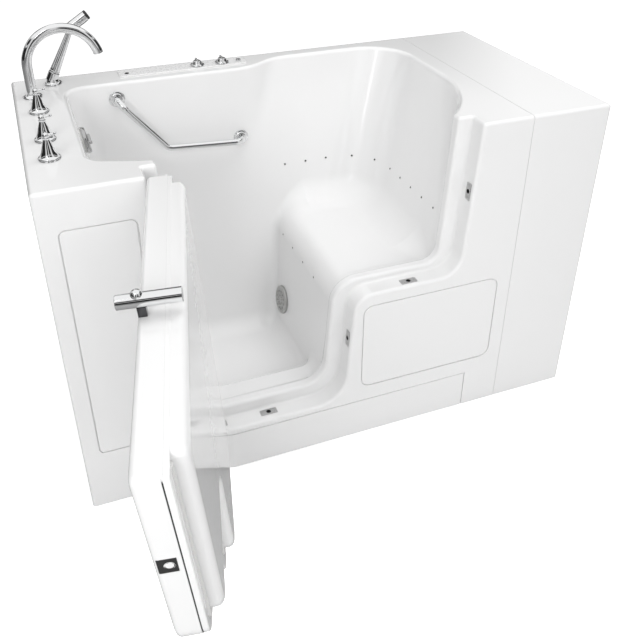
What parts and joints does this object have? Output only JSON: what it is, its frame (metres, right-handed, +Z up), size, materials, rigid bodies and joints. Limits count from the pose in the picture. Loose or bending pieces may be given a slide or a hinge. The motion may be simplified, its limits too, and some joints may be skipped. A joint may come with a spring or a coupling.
{
  "type": "walk in bathtub",
  "caption": "Walk-in bathtub with an outward opening L-shaped door in its front, a raised seat, a foot well, a grab bar, air jets and deck-mounted taps.",
  "frame": {"origin": "bottom face of the centre levelling foot, on the floor under the middle of the tub", "axes": "+X to the right seen from the front (along the tub, from the taps to the seat), +Y from the door in the front to the back wall, +Z up"},
  "size_m": [1.524, 1.6342, 1.1679],
  "materials": {
    "gelcoat": "glossy white gelcoat",
    "panel_white": "glossy white gelcoat",
    "chrome": "polished chrome plate",
    "stainless": "brushed stainless steel",
    "frame_steel": "grey painted square tube",
    "black_rubber": "black rubber",
    "seal_rubber": "pale grey silicone seal",
    "black_plastic": "satin black plastic",
    "jet_plastic": "grey moulded plastic",
    "pipe_plastic": "white pipe plastic",
    "strip_plastic": "white moulded plastic",
    "brass": "cast brass"
  },
  "bodies": {
    "tub": {"basin_shell": "gelcoat", "deck_rim": "gelcoat", "front_apron": "gelcoat", "extension_panel": "panel_white", "extension_brackets": "frame_steel", "support_frame": "frame_steel", "levelling_feet": "black_rubber", "foot_locknuts": "stainless", "strike_plates": "chrome", "strike_screws": "stainless", "hinge_frame_leaves": "chrome", "hinge_pins": "stainless", "grab_bar_tube": "chrome", "grab_bar_flanges": "chrome", "spout_base": "chrome", "tap_bases": "chrome", "tap_valve_bodies": "brass", "tap_locknuts": "stainless", "shower_cradle": "chrome", "overflow_body": "pipe_plastic", "overflow_pipe": "pipe_plastic", "drain_flange": "chrome", "riser_cover": "chrome", "riser_suction_body": "pipe_plastic", "seat_air_jets": "jet_plastic", "riser_air_jets": "jet_plastic", "air_blower": "black_plastic", "air_pipe": "pipe_plastic", "control_strip": "strip_plastic", "strip_indicator": "black_plastic"},
    "door": {"door_outer_skin": "gelcoat", "door_inner_skin": "gelcoat", "door_seam_strip": "black_rubber", "door_gasket": "seal_rubber", "door_stiffener": "frame_steel", "hinge_door_leaves": "chrome", "latch_case": "stainless", "latch_face_plate": "black_plastic", "bolt_guides": "stainless"},
    "lever": {"lever_shaft": "chrome", "lever_bar": "chrome"},
    "jamb_bolt": {"jamb_bolt": "chrome"},
    "riser_bolt": {"riser_bolt": "chrome"},
    "sill_bolt": {"sill_bolt": "chrome"},
    "threshold_bolts": {"threshold_bolts": "chrome"},
    "spout": {"spout_neck": "chrome", "spout_aerator": "black_plastic"},
    "cold_handle": {"cold_handle": "chrome"},
    "diverter_handle": {"diverter_handle": "chrome"},
    "hot_handle": {"hot_handle": "chrome"},
    "handset": {"shower_handset": "chrome", "shower_face": "black_plastic"},
    "overflow_dial": {"overflow_dial": "chrome"},
    "drain_stopper": {"drain_stopper": "chrome"},
    "air_knob_left": {"air_knob_left": "chrome"},
    "air_knob_right": {"air_knob_right": "chrome"},
    "air_button": {"air_button": "chrome"},
    "side_panel": {"side_access_panel": "panel_white"},
    "seat_panel": {"seat_access_panel": "panel_white"},
    "plinth_panel": {"plinth_panel": "panel_white"}
  },
  "joints": [
    {"name": "door_hinge", "type": "hinge", "parent": "tub", "child": "door", "pos_m": [-0.506, -0.39, 0.966], "axis": [-0.0471, 0.0174, 0.9987], "range_deg": [0, 102.7]},
    {"name": "latch_lever", "type": "hinge", "parent": "door", "child": "lever", "pos_m": [-0.60911, -0.88298, 0.94609], "axis": [-0.0744, -0.0247, 0.9969], "range_deg": [0, 90]},
    {"name": "jamb_bolt_slide", "type": "slide", "parent": "door", "child": "jamb_bolt", "axis": [-0.2126, -0.9724, -0.096], "range_m": [0, 0.01]},
    {"name": "riser_bolt_slide", "type": "slide", "parent": "door", "child": "riser_bolt", "axis": [-0.2108, -0.9705, -0.1167], "range_m": [0, 0.01]},
    {"name": "sill_bolt_slide", "type": "slide", "parent": "door", "child": "sill_bolt", "axis": [0.0744, 0.0247, -0.9969], "range_m": [0, 0.01]},
    {"name": "threshold_bolt_slide", "type": "slide", "parent": "door", "child": "threshold_bolts", "axis": [0.0744, 0.0247, -0.9969], "range_m": [0, 0.01]},
    {"name": "spout_swivel", "type": "hinge", "parent": "tub", "child": "spout", "pos_m": [-0.71, 0.233, 0.966], "axis": [0, 0, 1], "range_deg": [-60, 15]},
    {"name": "cold_handle_turn", "type": "hinge", "parent": "tub", "child": "cold_handle", "pos_m": [-0.702, -0.214, 0.966], "axis": [0, 0, 1], "range_deg": [0, 90]},
    {"name": "diverter_handle_turn", "type": "hinge", "parent": "tub", "child": "diverter_handle", "pos_m": [-0.702, -0.095, 0.966], "axis": [0, 0, 1], "range_deg": [-45, 45]},
    {"name": "hot_handle_turn", "type": "hinge", "parent": "tub", "child": "hot_handle", "pos_m": [-0.702, 0.105, 0.966], "axis": [0, 0, 1], "range_deg": [-90, 0]},
    {"name": "handset_lift", "type": "slide", "parent": "tub", "child": "handset", "axis": [0.4695, 0, 0.8829], "range_m": [0, 0.06]},
    {"name": "overflow_turn", "type": "hinge", "parent": "tub", "child": "overflow_dial", "pos_m": [-0.60472, 0.106, 0.868], "axis": [0.9848, 0, 0.1736], "range_deg": [0, 90]},
    {"name": "stopper_lift", "type": "slide", "parent": "tub", "child": "drain_stopper", "axis": [0, 0, 1], "range_m": [0, 0.01]},
    {"name": "air_knob_left_turn", "type": "hinge", "parent": "tub", "child": "air_knob_left", "pos_m": [-0.217, 0.332, 0.966], "axis": [0, 0, 1], "range_deg": [0, 180]},
    {"name": "air_knob_right_turn", "type": "hinge", "parent": "tub", "child": "air_knob_right", "pos_m": [-0.139, 0.332, 0.966], "axis": [0, 0, 1], "range_deg": [0, 180]},
    {"name": "air_button_press", "type": "slide", "parent": "tub", "child": "air_button", "axis": [0, 0, -1], "range_m": [0, 0.0022], "stiffness_N_per_m": 400, "springref_m": -0.0005},
    {"name": "side_panel_pull", "type": "slide", "parent": "tub", "child": "side_panel", "axis": [0, -1, 0], "range_m": [0, 0.04]},
    {"name": "seat_panel_pull", "type": "slide", "parent": "tub", "child": "seat_panel", "axis": [0, -1, 0], "range_m": [0, 0.04]},
    {"name": "plinth_panel_pull", "type": "slide", "parent": "tub", "child": "plinth_panel", "axis": [0, -1, 0], "range_m": [0, 0.04]}
  ],
  "couplings": [
    {"joint": "jamb_bolt_slide", "follows": "latch_lever", "m_per_rad": 0.0063662},
    {"joint": "riser_bolt_slide", "follows": "latch_lever", "m_per_rad": 0.0063662},
    {"joint": "sill_bolt_slide", "follows": "latch_lever", "m_per_rad": 0.0063662},
    {"joint": "threshold_bolt_slide", "follows": "latch_lever", "m_per_rad": 0.0063662},
    {"joint": "stopper_lift", "follows": "overflow_turn", "m_per_rad": 0.0063662}
  ]
}
